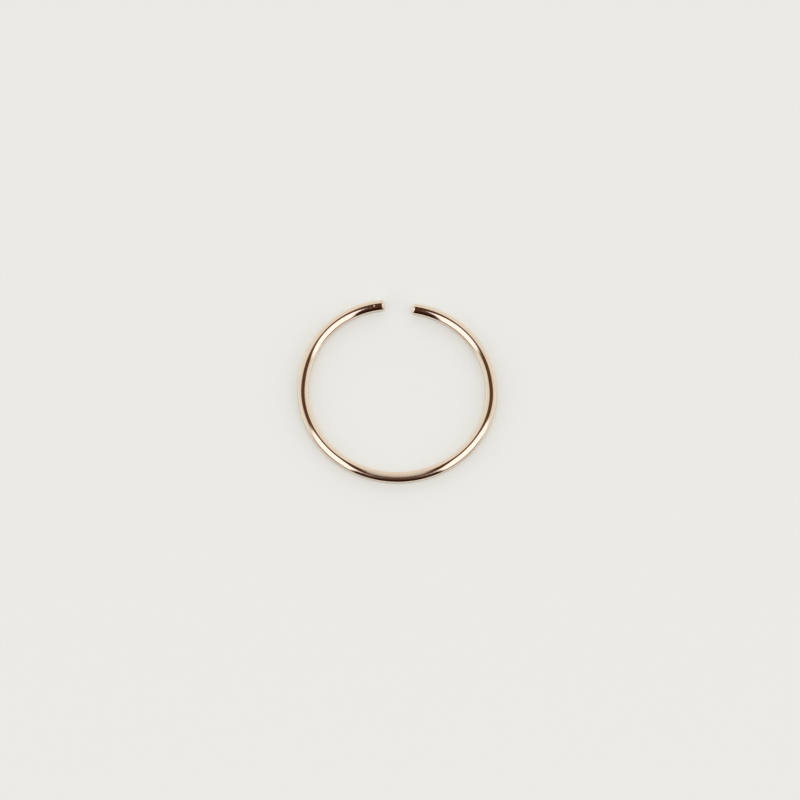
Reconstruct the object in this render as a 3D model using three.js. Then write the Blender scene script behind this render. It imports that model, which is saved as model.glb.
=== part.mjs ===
// Ear cuff: one length of round, polished gold-coloured wire, bent into an open C ring.
//
// Millimetres, +Z up. The ring lies on its side on z = 0, with its middle over the origin,
// the back of the loop towards -Y and the gap between its two tips towards +Y.

import * as THREE from 'three';
import { mergeVertices } from 'three/addons/utils/BufferGeometryUtils.js';

// The wire.
const WIRE_DIAMETER = 0.7;
const WIRE_SIDES = 24;

// The filed tips: a flat cut face inside a rounded rim.
const RIM_RADIUS = 0.16;
const RIM_STEPS = 4;

// The loop was bent by hand and isn't quite round. Each half is a chain of arcs of the wire's own
// line, from the middle of the back to the tip: degrees turned, and the arc's radius.
const RIGHT_BENDS = [
  { turn: 60, radius: 6.1 },
  { turn: 112, radius: 5.9 },
];
const LEFT_BENDS = [
  { turn: 60, radius: 6.1 },
  { turn: 60, radius: 6.25 },
  { turn: 55.5, radius: 5.6 },
];

// The middle of the back, where both halves start, placed so that the loop is centred.
const BACK = { x: 0.023, y: -6.033 };

// The longest stretch of wire that stays straight between two bends of the mesh.
const BEND_STEP = 0.25;

const GOLD = { color: 0xf7dfbc, roughness: 0.12, metalness: 1.0 };

const wireRadius = WIRE_DIAMETER / 2;
const rightLength = bendsLength(RIGHT_BENDS);
const leftLength = bendsLength(LEFT_BENDS);

function arcLength({ turn, radius }) {
  return THREE.MathUtils.degToRad(turn) * radius;
}

function bendsLength(bends) {
  return bends.reduce((sum, arc) => sum + arcLength(arc), 0);
}

// The straight wire's half section, from the left tip to the right one: x is the radius, y runs along
// the wire and is 0 at the middle of the back.
function wireProfile() {
  const flats = 1 / Math.cos(Math.PI / WIRE_SIDES);
  const rim = [];
  for (let i = 0; i <= RIM_STEPS; i += 1) {
    const turn = (i / RIM_STEPS) * (Math.PI / 2);
    const radius = wireRadius - RIM_RADIUS * (1 - Math.sin(turn));
    const fromTip = RIM_RADIUS * (1 - Math.cos(turn));
    rim.push({ radius: radius * flats, fromTip });
  }
  const start = RIM_RADIUS - leftLength;
  const end = rightLength - RIM_RADIUS;
  const steps = Math.ceil((end - start) / BEND_STEP);
  const points = [new THREE.Vector2(0, -leftLength)];
  for (const { radius, fromTip } of rim) {
    points.push(new THREE.Vector2(radius, fromTip - leftLength));
  }
  for (let i = 1; i < steps; i += 1) {
    const along = THREE.MathUtils.lerp(start, end, i / steps);
    points.push(new THREE.Vector2(wireRadius * flats, along));
  }
  for (const { radius, fromTip } of rim.toReversed()) {
    points.push(new THREE.Vector2(radius, rightLength - fromTip));
  }
  points.push(new THREE.Vector2(0, rightLength));
  return points;
}

// Where a point of the wire's own line comes to lie, and which way is out of the loop there.
function bend(along) {
  const side = along < 0 ? -1 : 1;
  const centre = new THREE.Vector3(BACK.x, BACK.y, wireRadius);
  let rest = Math.abs(along);
  let turned = 0;
  for (const arc of side < 0 ? LEFT_BENDS : RIGHT_BENDS) {
    const walked = Math.min(rest, arcLength(arc));
    const next = turned + walked / arc.radius;
    centre.x += side * arc.radius * (Math.sin(next) - Math.sin(turned));
    centre.y += arc.radius * (Math.cos(turned) - Math.cos(next));
    turned = next;
    rest -= walked;
  }
  const out = new THREE.Vector3(side * Math.sin(turned), -Math.cos(turned), 0);
  return { centre, out };
}

// The ring: the straight wire turned on its axis with flat sides below and above, then bent round.
function cuffRing() {
  const geometry = new THREE.LatheGeometry(wireProfile(), WIRE_SIDES, Math.PI / WIRE_SIDES);
  geometry.deleteAttribute('normal');
  geometry.deleteAttribute('uv');
  const position = geometry.getAttribute('position');
  for (let i = 0; i < position.count; i += 1) {
    const { centre, out } = bend(position.getY(i));
    const vertex = centre.addScaledVector(out, position.getX(i));
    position.setXYZ(i, vertex.x, vertex.y, vertex.z + position.getZ(i));
  }
  const closed = mergeVertices(geometry);
  closed.computeVertexNormals();
  const ring = new THREE.Mesh(closed, new THREE.MeshStandardMaterial(GOLD));
  ring.name = 'cuff_ring';
  return ring;
}

const earCuff = new THREE.Group();
earCuff.add(cuffRing());

export default earCuff;
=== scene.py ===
"""An ear cuff of polished gold-coloured wire, lying on pale paper in a light tent.

Lengths are in metres and angles in degrees. +Z is up and the cuff's gap is towards +Y.
"""

from __future__ import annotations

import logging
import math
from dataclasses import dataclass, field
from enum import Enum
from itertools import pairwise

import bmesh
import bpy
from mathutils import Matrix, Vector


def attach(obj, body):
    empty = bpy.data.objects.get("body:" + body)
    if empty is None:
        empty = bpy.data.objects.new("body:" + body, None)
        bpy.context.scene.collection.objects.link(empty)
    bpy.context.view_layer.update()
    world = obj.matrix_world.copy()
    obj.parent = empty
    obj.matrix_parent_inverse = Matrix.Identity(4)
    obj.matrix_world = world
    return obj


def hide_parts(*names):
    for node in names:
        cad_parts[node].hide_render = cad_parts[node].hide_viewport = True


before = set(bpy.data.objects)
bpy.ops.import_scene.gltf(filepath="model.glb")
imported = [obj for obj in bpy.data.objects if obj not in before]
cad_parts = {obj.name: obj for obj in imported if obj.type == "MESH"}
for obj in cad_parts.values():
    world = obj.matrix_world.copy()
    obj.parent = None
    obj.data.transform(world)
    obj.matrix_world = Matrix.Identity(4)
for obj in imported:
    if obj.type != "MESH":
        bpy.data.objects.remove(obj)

log = logging.getLogger("ear_cuff")

MM = 0.001
IMAGE_PIXELS = 800
STRAIGHT_WIRE = "straight_wire"

Rgb = tuple[float, float, float]
Triple = tuple[float, float, float]

UP: Triple = (0, 0, 1)
DOWN: Triple = (0, 0, -1)


class Half(Enum):
    """The two halves of the loop, as seen from above with the gap at the far side."""

    LEFT = -1
    RIGHT = 1


def rgba(colour: Rgb) -> tuple[float, float, float, float]:
    """Gives a colour a full alpha."""
    return (*colour, 1.0)


def direction_to(azimuth: float, elevation: float) -> Vector:
    """Finds the direction from the cuff to something that stands round it.

    Args:
        azimuth: How far it stands from the front towards the right.
        elevation: How far it stands above the floor.

    Returns:
        The direction, of length 1.
    """
    turn = math.radians(azimuth)
    rise = math.radians(elevation)
    return Vector((
        math.sin(turn) * math.cos(rise),
        -math.cos(turn) * math.cos(rise),
        math.sin(rise),
    ))


def maths(tree: bpy.types.NodeTree, operation: str,
          *values: bpy.types.NodeSocket | float) -> bpy.types.NodeSocket:
    """Adds one sum to a tree of nodes.

    Args:
        tree: The nodes.
        operation: What is done with the values.
        values: What goes in, as the results of other nodes or as plain numbers.

    Returns:
        The sum's result.
    """
    node = tree.nodes.new("ShaderNodeMath")
    node.operation = operation
    for value, socket in zip(values, node.inputs):
        if isinstance(value, bpy.types.NodeSocket):
            tree.links.new(value, socket)
        else:
            socket.default_value = value
    return node.outputs["Value"]


def vector_maths(tree: bpy.types.NodeTree, operation: str, vector: bpy.types.NodeSocket,
                 other: Triple) -> bpy.types.NodeSocket:
    """Adds one measure of a vector against a fixed one to a tree of nodes.

    Args:
        tree: The nodes.
        operation: What is measured.
        vector: The vector.
        other: The fixed vector.

    Returns:
        The measure.
    """
    node = tree.nodes.new("ShaderNodeVectorMath")
    node.operation = operation
    node.inputs[1].default_value = other
    tree.links.new(vector, node.inputs[0])
    return node.outputs["Value"]


def soft_step(tree: bpy.types.NodeTree, value: bpy.types.NodeSocket, start: float, end: float,
              first: float = 0.0, last: float = 1.0) -> bpy.types.NodeSocket:
    """Adds a soft step to a tree of nodes.

    Args:
        tree: The nodes.
        value: What the step runs along.
        start: The value where the step starts.
        end: The value where it ends.
        first: The result before the step.
        last: The result after it.

    Returns:
        The step's result.
    """
    step = tree.nodes.new("ShaderNodeMapRange")
    step.interpolation_type = "SMOOTHSTEP"
    step.inputs["From Min"].default_value = start
    step.inputs["From Max"].default_value = end
    step.inputs["To Min"].default_value = first
    step.inputs["To Max"].default_value = last
    tree.links.new(value, step.inputs["Value"])
    return step.outputs["Result"]


@dataclass(frozen=True)
class Worn:
    """A stretch of the wire that lost some of its polish, and how rough it is."""

    middle: float
    half_length: float
    fade: float
    roughness: float

    def over(self, tree: bpy.types.NodeTree, along: bpy.types.NodeSocket,
             under: bpy.types.NodeSocket | float) -> bpy.types.NodeSocket:
        """Roughens the stretch.

        Args:
            tree: The material's nodes.
            along: How far along the wire the point is.
            under: The roughness so far.

        Returns:
            The roughness with this stretch.
        """
        distance = maths(tree, "ABSOLUTE", maths(tree, "SUBTRACT", along, self.middle))
        edge = self.half_length + self.fade
        stretch = soft_step(tree, distance, self.half_length, edge, self.roughness, 0.0)
        return maths(tree, "MAXIMUM", under, stretch)


@dataclass(frozen=True)
class Nick:
    """A small round dent in the wire. Its place is the one before the wire was bent."""

    place: Triple
    depth: float
    radius: float = 0.07 * MM

    def relief(self, tree: bpy.types.NodeTree, place: bpy.types.NodeSocket) -> bpy.types.NodeSocket:
        """Makes the nick's relief.

        Args:
            tree: The material's nodes.
            place: The point's place in the straight wire.

        Returns:
            The height, 0 in the middle of the nick and 1 beside it.
        """
        distance = vector_maths(tree, "DISTANCE", place, self.place)
        return soft_step(tree, distance, 0.0, self.radius)


@dataclass(frozen=True)
class Grain:
    """A pattern of uneven spots, each so wide across the wire and so long along it."""

    across: float
    along: float
    detail: float

    def pattern(self, tree: bpy.types.NodeTree, place: bpy.types.NodeSocket) -> bpy.types.NodeSocket:
        """Makes the pattern.

        Args:
            tree: The material's nodes.
            place: The point's place in the straight wire.

        Returns:
            The pattern's value, about 0 to 1.
        """
        stretch = tree.nodes.new("ShaderNodeMapping")
        stretch.inputs["Scale"].default_value = (1 / self.across, 1 / self.across, 1 / self.along)
        noise = tree.nodes.new("ShaderNodeTexNoise")
        noise.inputs["Scale"].default_value = 1.0
        noise.inputs["Detail"].default_value = self.detail
        tree.links.new(place, stretch.inputs["Vector"])
        tree.links.new(stretch.outputs["Vector"], noise.inputs["Vector"])
        return noise.outputs["Fac"]


@dataclass(frozen=True)
class GoldFinish:
    """Mirror-bright drawn gold, rubbed to a satin on the back of the loop.

    Fine lines run along the wire, faint scuffs across it, and soft patches are a little warmer.
    The patterns follow the wire: they read the point's place in the wire before it was bent,
    stored on the mesh as (out of the loop, up, along the wire).
    """

    slot: str = "gold"
    colour: Rgb = (0.97, 0.80, 0.59)
    warm_colour: Rgb = (0.95, 0.75, 0.52)
    warm_below: float = 0.1
    clear_above: float = 0.4
    patches: Grain = Grain(0.5 * MM, 1.6 * MM, 2.0)
    roughness: float = 0.08
    worn: tuple[Worn, ...] = (
        Worn(0.0, 1.6 * MM, 1.8 * MM, 0.20),
        Worn(-18.36 * MM, 0.14 * MM, 0.06 * MM, 0.45),
    )
    lines: Grain = Grain(0.022 * MM, 2.4 * MM, 2.0)
    line_depth: float = 0.0006 * MM
    scuffs: Grain = Grain(0.6 * MM, 0.07 * MM, 1.0)
    scuff_depth: float = 0.0011 * MM
    nicks: tuple[Nick, ...] = (
        Nick((-0.112 * MM, 0.331 * MM, -17.71 * MM), 0.009 * MM),
        Nick((-0.187 * MM, 0.295 * MM, -17.47 * MM), 0.004 * MM),
    )

    def material(self) -> bpy.types.Material:
        """Makes the node material.

        Returns:
            The material, ready to go on the ring.
        """
        material = bpy.data.materials.new("polished_gold")
        material.use_nodes = True
        tree = material.node_tree
        shader = tree.nodes["Principled BSDF"]
        shader.inputs["Metallic"].default_value = 1.0
        attribute = tree.nodes.new("ShaderNodeAttribute")
        attribute.attribute_name = STRAIGHT_WIRE
        place = attribute.outputs["Vector"]
        lines = self.lines.pattern(tree, place)
        self._tint(tree, place, lines, shader)
        self._polish(tree, place, shader)
        self._mark(tree, place, lines, shader)
        return material

    def _tint(self, tree: bpy.types.NodeTree, place: bpy.types.NodeSocket,
              lines: bpy.types.NodeSocket, shader: bpy.types.Node) -> None:
        """Colours the gold, a little warmer in soft patches.

        Args:
            tree: The material's nodes.
            place: The point's place in the straight wire.
            lines: The height of the lines along the wire.
            shader: The material's main shader.
        """
        blend = maths(tree, "MULTIPLY", self.patches.pattern(tree, place), lines)
        ramp = tree.nodes.new("ShaderNodeValToRGB")
        warm, clear = ramp.color_ramp.elements
        warm.position = self.warm_below
        warm.color = rgba(self.warm_colour)
        clear.position = self.clear_above
        clear.color = rgba(self.colour)
        tree.links.new(blend, ramp.inputs["Fac"])
        tree.links.new(ramp.outputs["Color"], shader.inputs["Base Color"])

    def _polish(self, tree: bpy.types.NodeTree, place: bpy.types.NodeSocket,
                shader: bpy.types.Node) -> None:
        """Sets how sharp the reflections are: mirror bright, and satin where the wire is worn.

        Args:
            tree: The material's nodes.
            place: The point's place in the straight wire.
            shader: The material's main shader.
        """
        split = tree.nodes.new("ShaderNodeSeparateXYZ")
        tree.links.new(place, split.inputs["Vector"])
        roughness = self.roughness
        for worn in self.worn:
            roughness = worn.over(tree, split.outputs["Z"], roughness)
        tree.links.new(roughness, shader.inputs["Roughness"])

    def _mark(self, tree: bpy.types.NodeTree, place: bpy.types.NodeSocket,
              lines: bpy.types.NodeSocket, shader: bpy.types.Node) -> None:
        """Lays the lines, the scuffs and the nicks over each other as relief.

        Args:
            tree: The material's nodes.
            place: The point's place in the straight wire.
            lines: The height of the lines along the wire.
            shader: The material's main shader.
        """
        reliefs = [(lines, self.line_depth), (self.scuffs.pattern(tree, place), self.scuff_depth)]
        reliefs += [(nick.relief(tree, place), nick.depth) for nick in self.nicks]
        bumps = []
        for height, depth in reliefs:
            bump = tree.nodes.new("ShaderNodeBump")
            bump.inputs["Strength"].default_value = 1.0
            bump.inputs["Distance"].default_value = depth
            tree.links.new(height, bump.inputs["Height"])
            bumps.append(bump)
        for under, over in pairwise(bumps):
            tree.links.new(under.outputs["Normal"], over.inputs["Normal"])
        tree.links.new(bumps[-1].outputs["Normal"], shader.inputs["Normal"])


@dataclass(frozen=True)
class PaperFinish:
    """Smooth off-white paper with a faint grain."""

    colour: Rgb = (0.764, 0.777, 0.715)
    shade_colour: Rgb = (0.754, 0.767, 0.705)
    grain: float = 0.35 * MM
    grain_detail: float = 3.0
    roughness: float = 0.9
    shine: float = 0.1

    def material(self) -> bpy.types.Material:
        """Makes the node material.

        Returns:
            The material, ready to go on the floor.
        """
        material = bpy.data.materials.new("pale_paper")
        material.use_nodes = True
        tree = material.node_tree
        shader = tree.nodes["Principled BSDF"]
        shader.inputs["Roughness"].default_value = self.roughness
        shader.inputs["Specular IOR Level"].default_value = self.shine
        place = tree.nodes.new("ShaderNodeTexCoord")
        noise = tree.nodes.new("ShaderNodeTexNoise")
        noise.inputs["Scale"].default_value = 1 / self.grain
        noise.inputs["Detail"].default_value = self.grain_detail
        ramp = tree.nodes.new("ShaderNodeValToRGB")
        ramp.color_ramp.elements[0].color = rgba(self.shade_colour)
        ramp.color_ramp.elements[1].color = rgba(self.colour)
        tree.links.new(place.outputs["Object"], noise.inputs["Vector"])
        tree.links.new(noise.outputs["Fac"], ramp.inputs["Fac"])
        tree.links.new(ramp.outputs["Color"], shader.inputs["Base Color"])
        return material


@dataclass(frozen=True)
class Bend:
    """One arc of the wire's own line."""

    turn: float
    radius: float

    @property
    def length(self) -> float:
        """The wire that the arc takes."""
        return math.radians(self.turn) * self.radius


@dataclass
class CuffRing:
    """The cuff: a round wire bent into an open ring, with a filed rim at each tip.

    Each half is a chain of arcs from the middle of the loop's back to the tip. The polish has
    taken a little off the wire all round, and wear a shallow flat off the top of the loop's back,
    which leans a little into the loop.
    """

    node: str = "cuff_ring"
    wire_diameter: float = 0.7 * MM
    polish_loss: float = 0.002 * MM
    rim_radius: float = 0.16 * MM
    back: tuple[float, float] = (0.023 * MM, -6.033 * MM)
    right_bends: tuple[Bend, ...] = (
        Bend(60, 6.1 * MM),
        Bend(112, 5.9 * MM),
    )
    left_bends: tuple[Bend, ...] = (
        Bend(60, 6.1 * MM),
        Bend(60, 6.25 * MM),
        Bend(55.5, 5.6 * MM),
    )
    sides: int = 96
    step: float = 0.08 * MM
    rim_segments: int = 8
    face_inset: float = 0.02 * MM
    flat_depth: float = 0.078 * MM
    flat_softness: float = 0.050 * MM
    flat_half_length: float = 1.5 * MM
    flat_fade: float = 2.4 * MM
    flat_tilt: float = 5.0
    finish: GoldFinish = field(default_factory=GoldFinish)

    @property
    def wire_radius(self) -> float:
        """Half the wire's thickness."""
        return self.wire_diameter / 2

    def bends(self, half: Half) -> tuple[Bend, ...]:
        """The arcs of one half."""
        return self.left_bends if half is Half.LEFT else self.right_bends

    def length(self, half: Half) -> float:
        """The wire from the middle of the back to the tip of one half."""
        return sum(bend.length for bend in self.bends(half))

    def build(self) -> bpy.types.Object:
        """Makes the ring's mesh and object.

        Returns:
            The ring, lying on the floor with its gap towards +Y.
        """
        shape = bmesh.new()
        self._straight_wire(shape)
        layer = shape.verts.layers.float_vector.new(STRAIGHT_WIRE)
        for vert in shape.verts:
            vert[layer] = vert.co
            vert.co = self._bent(*self._rubbed(vert.co))
        bmesh.ops.recalc_face_normals(shape, faces=shape.faces)
        for face in shape.faces:
            face.smooth = True
        mesh = bpy.data.meshes.new("gold_wire")
        shape.to_mesh(mesh)
        shape.free()
        ring = bpy.data.objects.new("gold_wire", mesh)
        bpy.context.scene.collection.objects.link(ring)
        return ring

    def dress(self, ring: bpy.types.Object) -> None:
        """Gives the ring its finish and its place in the frame.

        Args:
            ring: The ring's object.
        """
        ring.data.materials.append(self.finish.material())
        ring.visible_glossy = False
        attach(ring, "root")
        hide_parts(self.node)

    def _straight_wire(self, shape: bmesh.types.BMesh) -> None:
        """Makes the wire before it is bent, along Z, with 0 at the middle of the back.

        Args:
            shape: The mesh being made.
        """
        right, left = self.length(Half.RIGHT), self.length(Half.LEFT)
        radius = self.wire_radius - self.polish_loss
        bmesh.ops.create_cone(
            shape,
            cap_ends=True,
            segments=self.sides,
            radius1=radius,
            radius2=radius,
            depth=right + left,
            matrix=Matrix.Translation((0, 0, (right - left) / 2)),
        )
        cuts = [face for face in shape.faces if len(face.verts) == self.sides]
        bmesh.ops.bevel(
            shape,
            geom=[edge for face in cuts for edge in face.edges],
            offset=self.rim_radius,
            segments=self.rim_segments,
            profile=0.5,
            affect="EDGES",
            material=-1,
        )
        bmesh.ops.inset_individual(
            shape,
            faces=[face for face in shape.faces if len(face.verts) == self.sides],
            thickness=self.face_inset,
            use_even_offset=True,
        )
        bmesh.ops.subdivide_edges(
            shape,
            edges=[edge for edge in shape.edges if edge.calc_length() > right],
            cuts=round((right + left) / self.step),
            use_grid_fill=True,
        )

    def _rubbed(self, place: Vector) -> Vector:
        """Wears the shallow flat into the top of the loop's back, which fades out to both sides.

        Args:
            place: A point of the straight wire.

        Returns:
            The point, lowered to the flat where it stood above it.
        """
        tilt = math.radians(self.flat_tilt)
        facing = Vector((-math.sin(tilt), math.cos(tilt), 0))
        past = (abs(place.z) - self.flat_half_length) / self.flat_fade
        fade = (1 + math.cos(math.pi * min(max(past, 0.0), 1.0))) / 2
        above = place.dot(facing) - (self.wire_radius - self.flat_depth)
        worn = (above + math.hypot(above, self.flat_softness)) / 2
        return place - facing * (worn * fade)

    def _bent(self, out: float, up: float, along: float) -> Vector:
        """Finds where a point of the straight wire comes to lie.

        Args:
            out: How far the point is from the wire's own line, out of the loop.
            up: How far it is above that line.
            along: How far along the wire it is from the middle of the back, right of it above 0.

        Returns:
            The point in the bent ring.
        """
        half = Half.LEFT if along < 0 else Half.RIGHT
        x, y = 0.0, self.back[1]
        turned = 0.0
        rest = abs(along)
        for bend in self.bends(half):
            walked = min(rest, bend.length)
            ahead = turned + walked / bend.radius
            x += bend.radius * (math.sin(ahead) - math.sin(turned))
            y += bend.radius * (math.cos(turned) - math.cos(ahead))
            turned = ahead
            rest -= walked
        x += out * math.sin(turned)
        y -= out * math.cos(turned)
        return Vector((self.back[0] + half.value * x, y, self.wire_radius + up))


@dataclass
class Tabletop:
    """The pale floor that the cuff lies on."""

    width: float = 3.0
    cuts: int = 8
    finish: PaperFinish = field(default_factory=PaperFinish)

    def build(self) -> bpy.types.Object:
        """Makes the floor.

        Returns:
            The floor, which isn't part of the cuff.
        """
        shape = bmesh.new()
        bmesh.ops.create_grid(shape, x_segments=self.cuts, y_segments=self.cuts, size=self.width / 2)
        mesh = bpy.data.meshes.new("floor")
        shape.to_mesh(mesh)
        shape.free()
        mesh.materials.append(self.finish.material())
        floor = bpy.data.objects.new("floor", mesh)
        # The ring doesn't reflect the floor: the tent paints the table's reflection below the horizon
        # instead.
        floor.visible_glossy = False
        bpy.context.scene.collection.objects.link(floor)
        return floor


@dataclass
class FloorLamp:
    """The large soft lamp above the cuff, a little to its front, that lights the floor."""

    azimuth: float = 0.0
    elevation: float = 76.0
    distance: float = 1.60
    width: float = 0.70
    radiance: float = 7.95
    colour: Rgb = (1.0, 0.99, 0.92)

    def build(self) -> bpy.types.Object:
        """Makes the lamp.

        Returns:
            The lamp's object.
        """
        light = bpy.data.lights.new("floor_lamp", "AREA")
        light.shape = "SQUARE"
        light.size = self.width
        light.color = self.colour
        light.energy = self.radiance * math.pi * self.width ** 2
        away = direction_to(self.azimuth, self.elevation)
        lamp = bpy.data.objects.new("floor_lamp", light)
        lamp.location = away * self.distance
        lamp.rotation_mode = "QUATERNION"
        lamp.rotation_quaternion = away.to_track_quat("Z", "Y")
        lamp.visible_camera = False
        lamp.visible_glossy = False
        bpy.context.scene.collection.objects.link(lamp)
        return lamp


@dataclass(frozen=True)
class Cut:
    """A soft flat cut through the light tent, which keeps what lies beyond it.

    `towards` is the direction that the cut faces, and `offset` how far along it the cut lies.
    """

    towards: Triple
    offset: float = 0.0
    blur: float = 0.05

    def share(self, tree: bpy.types.NodeTree, direction: bpy.types.NodeSocket) -> bpy.types.NodeSocket:
        """Finds how much of a direction the cut keeps.

        Args:
            tree: The world's nodes.
            direction: The direction looked at.

        Returns:
            The share, 0 to 1.
        """
        reach = vector_maths(tree, "DOT_PRODUCT", direction, self.towards)
        return soft_step(tree, reach, self.offset - self.blur, self.offset + self.blur)


@dataclass(frozen=True)
class Glow:
    """One bright or dark part of the light tent, as far as its cuts leave it."""

    colour: Rgb
    cuts: tuple[Cut, ...]

    def layer(self, tree: bpy.types.NodeTree, direction: bpy.types.NodeSocket) -> bpy.types.Node:
        """Makes the layer that lays the part over those before it.

        Args:
            tree: The world's nodes.
            direction: The direction looked at.

        Returns:
            The layer, whose A is still to be given the parts before it.
        """
        share, *others = [cut.share(tree, direction) for cut in self.cuts]
        for other in others:
            share = maths(tree, "MULTIPLY", share, other)
        mix = tree.nodes.new("ShaderNodeMix")
        mix.data_type = "RGBA"
        tree.links.new(share, mix.inputs["Factor"])
        mix.inputs["B"].default_value = rgba(self.colour)
        return mix


PANEL_COLOUR: Rgb = (1.26, 1.22, 1.44)
# The bright sides reach a little below the horizon: a painted highlight that only the ring's
# reflections show.
PANEL_FOOT = Cut(UP, -0.25, 0.10)
FRONT_SIDES = (Cut((0.79, -0.61, 0), 0.0, 0.08), Cut((-0.79, -0.61, 0), 0.0, 0.08))


@dataclass(frozen=True)
class LightTent:
    """The white tent round the cuff: bright sides, a pale back, a dim top and an open, dark front.

    Below the horizon only the ring's reflections see it, as the floor is hidden from them: there it
    is a painted reflection of the table, with painted shade in front and painted highlight at the
    sides.
    """

    top_colour: Rgb = (0.098, 0.047, 0.025)
    top_front: Glow = Glow((0.075, 0.034, 0.018), (Cut(UP, 0.86, 0.14), Cut((0, -1, 0.15), 0.0, 0.12)))
    walls: Glow = Glow((0.75, 0.77, 0.83), (Cut(DOWN, -0.62, 0.12),))
    back: Glow = Glow((0.79, 0.80, 0.86), (Cut((0, 0.876, -0.482), 0.0, 0.06),))
    # Painted reflection of the pale table, seen only in the ring below the horizon.
    table_painted_reflection: Glow = Glow((0.87, 0.91, 0.94), (Cut(DOWN, 0.30, 0.40),))
    # Painted shade in the table's reflection: a dark red-brown band below the horizon in front.
    table_front_painted_shade: Glow = Glow((0.16, 0.065, 0.040), (Cut(DOWN, 0.30, 0.08), Cut((0, -1, 0), 0.14, 0.10)))
    front: Glow = Glow((0.040, 0.012, 0.006), (*FRONT_SIDES, Cut(DOWN, -0.75, 0.25)))
    # Painted shade in the table's reflection: the open front darkened further below the horizon.
    front_foot_painted_shade: Glow = Glow((0.016, 0.005, 0.002), (*FRONT_SIDES, Cut(DOWN, 0.0, 0.20)))
    # Painted reflection of the lit table steeply below the wire, a pale edge along the ring's lower
    # side.
    table_middle_painted_reflection: Glow = Glow((0.80, 0.80, 0.78), (Cut(DOWN, 0.68, 0.10),))
    left_panel: Glow = Glow(
        PANEL_COLOUR,
        (Cut((-0.79, 0.61, 0.05)), Cut((0.26, -0.93, 0.27)), Cut((-0.965, 0, -0.26)), PANEL_FOOT),
    )
    right_panel: Glow = Glow(
        PANEL_COLOUR,
        (Cut((0.79, 0.61, 0.05)), Cut((-0.04, -0.98, 0.19)), Cut((0.965, 0, -0.26)), PANEL_FOOT),
    )

    @property
    def parts(self) -> tuple[Glow, ...]:
        """The parts, each of which lies over those before it."""
        return (
            self.top_front,
            self.walls,
            self.back,
            self.table_painted_reflection,
            self.table_front_painted_shade,
            self.front,
            self.front_foot_painted_shade,
            self.table_middle_painted_reflection,
            self.left_panel,
            self.right_panel,
        )

    def build(self) -> bpy.types.World:
        """Makes the world that glows so.

        Returns:
            The world.
        """
        tent = bpy.data.worlds.new("light_tent")
        tent.use_nodes = True
        tree = tent.node_tree
        direction = tree.nodes.new("ShaderNodeTexCoord").outputs["Generated"]
        layers = [part.layer(tree, direction) for part in self.parts]
        layers[0].inputs["A"].default_value = rgba(self.top_colour)
        for under, over in pairwise(layers):
            tree.links.new(under.outputs["Result"], over.inputs["A"])
        tree.links.new(layers[-1].outputs["Result"], tree.nodes["Background"].inputs["Color"])
        return tent


@dataclass
class Studio:
    """The light: a tent round the cuff, and a lamp above that lights the floor."""

    tent: LightTent = field(default_factory=LightTent)
    lamp: FloorLamp = field(default_factory=FloorLamp)

    def build(self) -> None:
        """Makes the lamp and the tent."""
        self.lamp.build()
        bpy.context.scene.world = self.tent.build()


@dataclass
class ProductCamera:
    """The camera, which looks down on the loop from its front.

    `pixel` is the size of a pixel at the loop, and `loop_pixel` where the loop's middle shows.
    """

    azimuth: float = 0.0
    elevation: float = 67.5
    distance: float = 0.60
    pixel: float = 0.06478 * MM
    loop_pixel: tuple[float, float] = (397.12, 391.07)
    sensor: float = 36.0
    nearest: float = 0.01
    farthest: float = 10.0

    def build(self, loop_height: float) -> bpy.types.Object:
        """Makes the camera and hands it to the scene.

        Args:
            loop_height: How high the middle of the wire lies.

        Returns:
            The camera's object.
        """
        turn = math.radians(self.azimuth)
        back = direction_to(self.azimuth, self.elevation)
        right = Vector((math.cos(turn), math.sin(turn), 0))
        up = back.cross(right)
        middle = IMAGE_PIXELS / 2
        aim = Vector((0, 0, loop_height))
        aim += right * (middle - self.loop_pixel[0]) * self.pixel
        aim += up * (self.loop_pixel[1] - middle) * self.pixel
        lens = bpy.data.cameras.new("camera")
        lens.sensor_width = self.sensor
        lens.lens = self.sensor * self.distance / (IMAGE_PIXELS * self.pixel)
        lens.clip_start = self.nearest
        lens.clip_end = self.farthest
        camera = bpy.data.objects.new("camera", lens)
        camera.location = aim + back * self.distance
        camera.rotation_mode = "QUATERNION"
        camera.rotation_quaternion = back.to_track_quat("Z", "Y")
        bpy.context.scene.collection.objects.link(camera)
        bpy.context.scene.camera = camera
        return camera


def main() -> None:
    """Builds the cuff, its floor, its light and the camera."""
    logging.basicConfig(level=logging.INFO, format="%(name)s: %(message)s")
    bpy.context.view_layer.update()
    cuff = CuffRing()
    ProductCamera().build(cuff.wire_radius)
    ring = cuff.build()
    cuff.dress(ring)
    log.info("%s: %d faces", ring.name, len(ring.data.polygons))
    floor = Tabletop().build()
    log.info("%s: %d faces", floor.name, len(floor.data.polygons))
    Studio().build()
    scene = bpy.context.scene
    scene.view_settings.view_transform = "Standard"
    scene.view_settings.look = "None"


if __name__ == "__main__":
    main()
